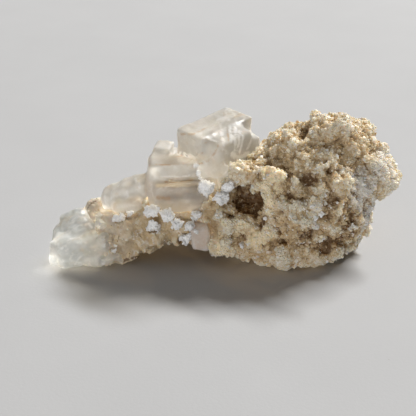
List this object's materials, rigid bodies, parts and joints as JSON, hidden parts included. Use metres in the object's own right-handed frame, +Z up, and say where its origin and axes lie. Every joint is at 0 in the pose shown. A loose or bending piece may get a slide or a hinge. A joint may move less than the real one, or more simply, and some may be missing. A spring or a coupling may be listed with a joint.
{
  "type": "halite cubic crystal specimen",
  "caption": "Halite hand specimen: clear stepped cubic crystals on an arm of granular salt that grew out of a large pitted, sugary tan lump, with white salt crumbs.",
  "frame": {"origin": "centre of the bounding box's bottom, on the surface that the specimen rests on", "axes": "+Z up, +X along the specimen from the clear crystal end to the granular lump, +Y to the back"},
  "size_m": [0.121, 0.053, 0.0496],
  "materials": {
    "granular_salt": "rough, sugary, cream to tan with brown hollows",
    "clear_salt": "clear to milky, softly glossy",
    "end_salt": "clear to milky, rounded and softly glossy",
    "pink_salt": "clear with a pinkish tint",
    "white_salt": "matt, chalky white"
  },
  "bodies": {
    "root": {"granular_matrix": "granular_salt", "cube_cluster": "clear_salt", "end_crystal": "end_salt", "lower_crystal": "pink_salt", "salt_crumb_01": "white_salt", "salt_crumb_02": "white_salt", "salt_crumb_03": "white_salt", "salt_crumb_04": "white_salt", "salt_crumb_05": "white_salt", "salt_crumb_06": "white_salt", "salt_crumb_07": "white_salt", "salt_crumb_08": "white_salt", "salt_crumb_09": "white_salt", "salt_crumb_10": "white_salt"}
  },
  "joints": []
}
